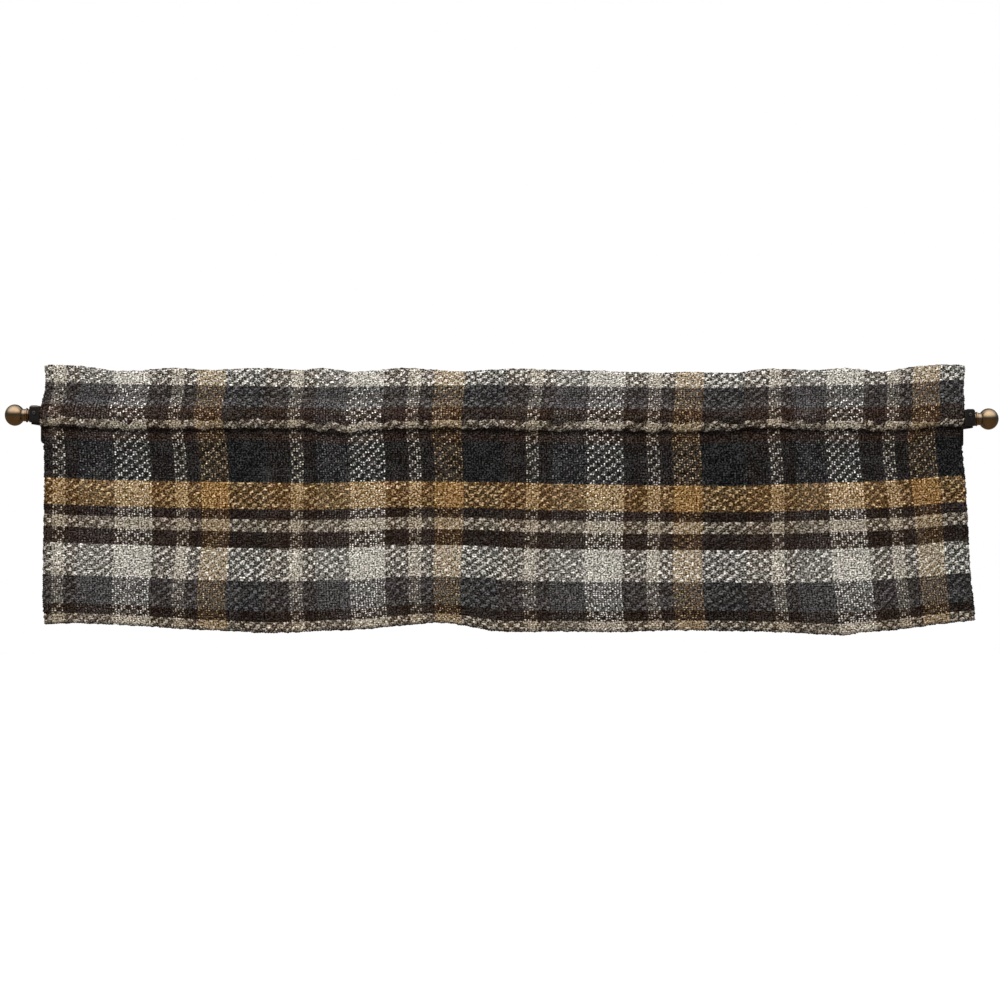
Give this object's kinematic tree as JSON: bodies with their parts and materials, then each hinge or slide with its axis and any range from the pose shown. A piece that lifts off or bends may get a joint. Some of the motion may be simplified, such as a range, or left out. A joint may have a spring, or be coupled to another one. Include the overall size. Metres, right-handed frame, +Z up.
{
  "type": "window valance on a curtain rod",
  "caption": "Gathered plaid window valance with a stand-up heading and rod pocket, on a plain rod with ball finials in cup brackets.",
  "frame": {"origin": "on the wall's face, midway along the rod and level with the rod's axis there", "axes": "+X along the rod to the viewer's right, +Y into the wall, so the front faces -Y, +Z up"},
  "size_m": [1.5406, 0.0865, 0.4198],
  "materials": {
    "plaid_cloth": "chunky woven plaid",
    "bronzed_rod": "dark bronze",
    "aged_brass": "satin aged",
    "black_bracket": "satin black",
    "black_screw": "black oxide"
  },
  "bodies": {
    "root": {"valance": "plaid_cloth", "rod": "bronzed_rod", "finial_left": "aged_brass", "finial_right": "aged_brass", "bracket_left": "black_bracket", "bracket_right": "black_bracket", "set_screw_left": "black_screw", "set_screw_right": "black_screw"}
  },
  "joints": []
}
